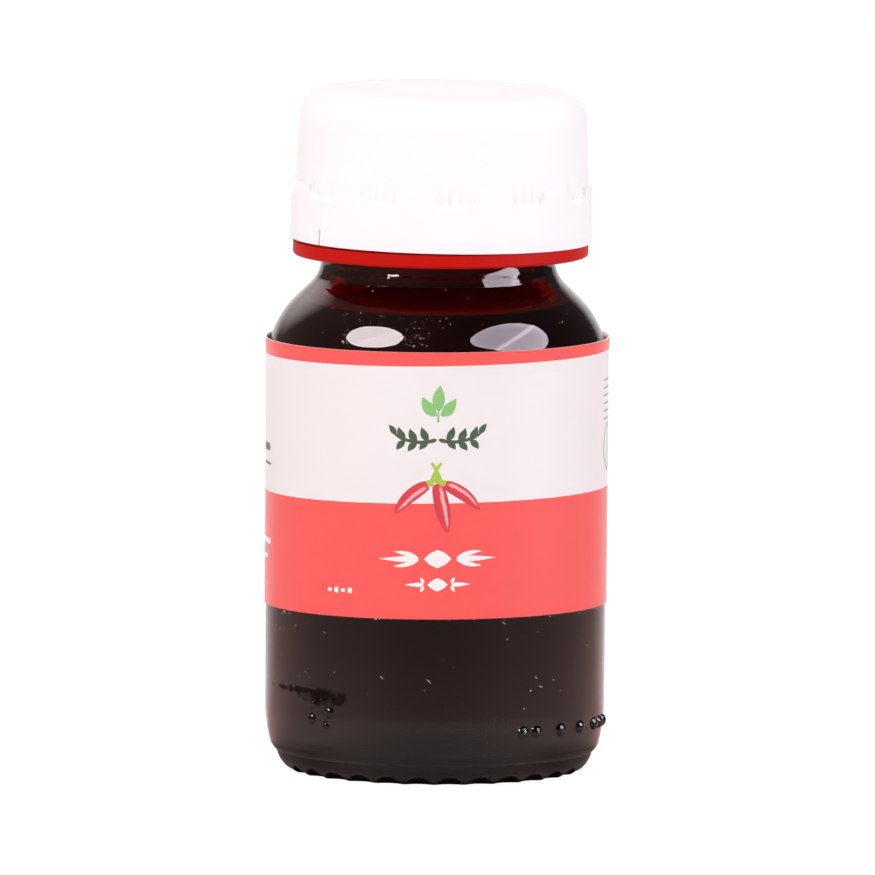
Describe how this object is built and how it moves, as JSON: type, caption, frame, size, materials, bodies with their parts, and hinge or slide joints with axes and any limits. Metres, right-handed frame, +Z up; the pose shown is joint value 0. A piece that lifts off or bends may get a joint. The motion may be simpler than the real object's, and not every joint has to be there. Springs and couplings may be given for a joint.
{
  "type": "chili oil bottle",
  "caption": "Small round amber glass bottle of dark red chilli oil with a wrap label in white and coral, a white screw closure and a red tamper band below it.",
  "frame": {"origin": "centre of the bottle's base on the surface that it stands on", "axes": "+Z up along the bottle's axis, the label's front faces -Y, +X to the label's right"},
  "size_m": [0.0354, 0.0352, 0.0704],
  "materials": {
    "amber_glass": "clear dark amber container glass, glossy",
    "oil": "dark red-brown chilli oil, still and glossy",
    "label_paper": "satin coated paper, printed in coral and white",
    "red_plastic": "moulded red polypropylene, semi-gloss",
    "white_plastic": "moulded white polypropylene, satin"
  },
  "bodies": {
    "root": {"glass_bottle": "amber_glass", "chili_oil": "oil", "label": "label_paper", "tamper_ring": "red_plastic", "cap_shell": "white_plastic"}
  },
  "joints": []
}
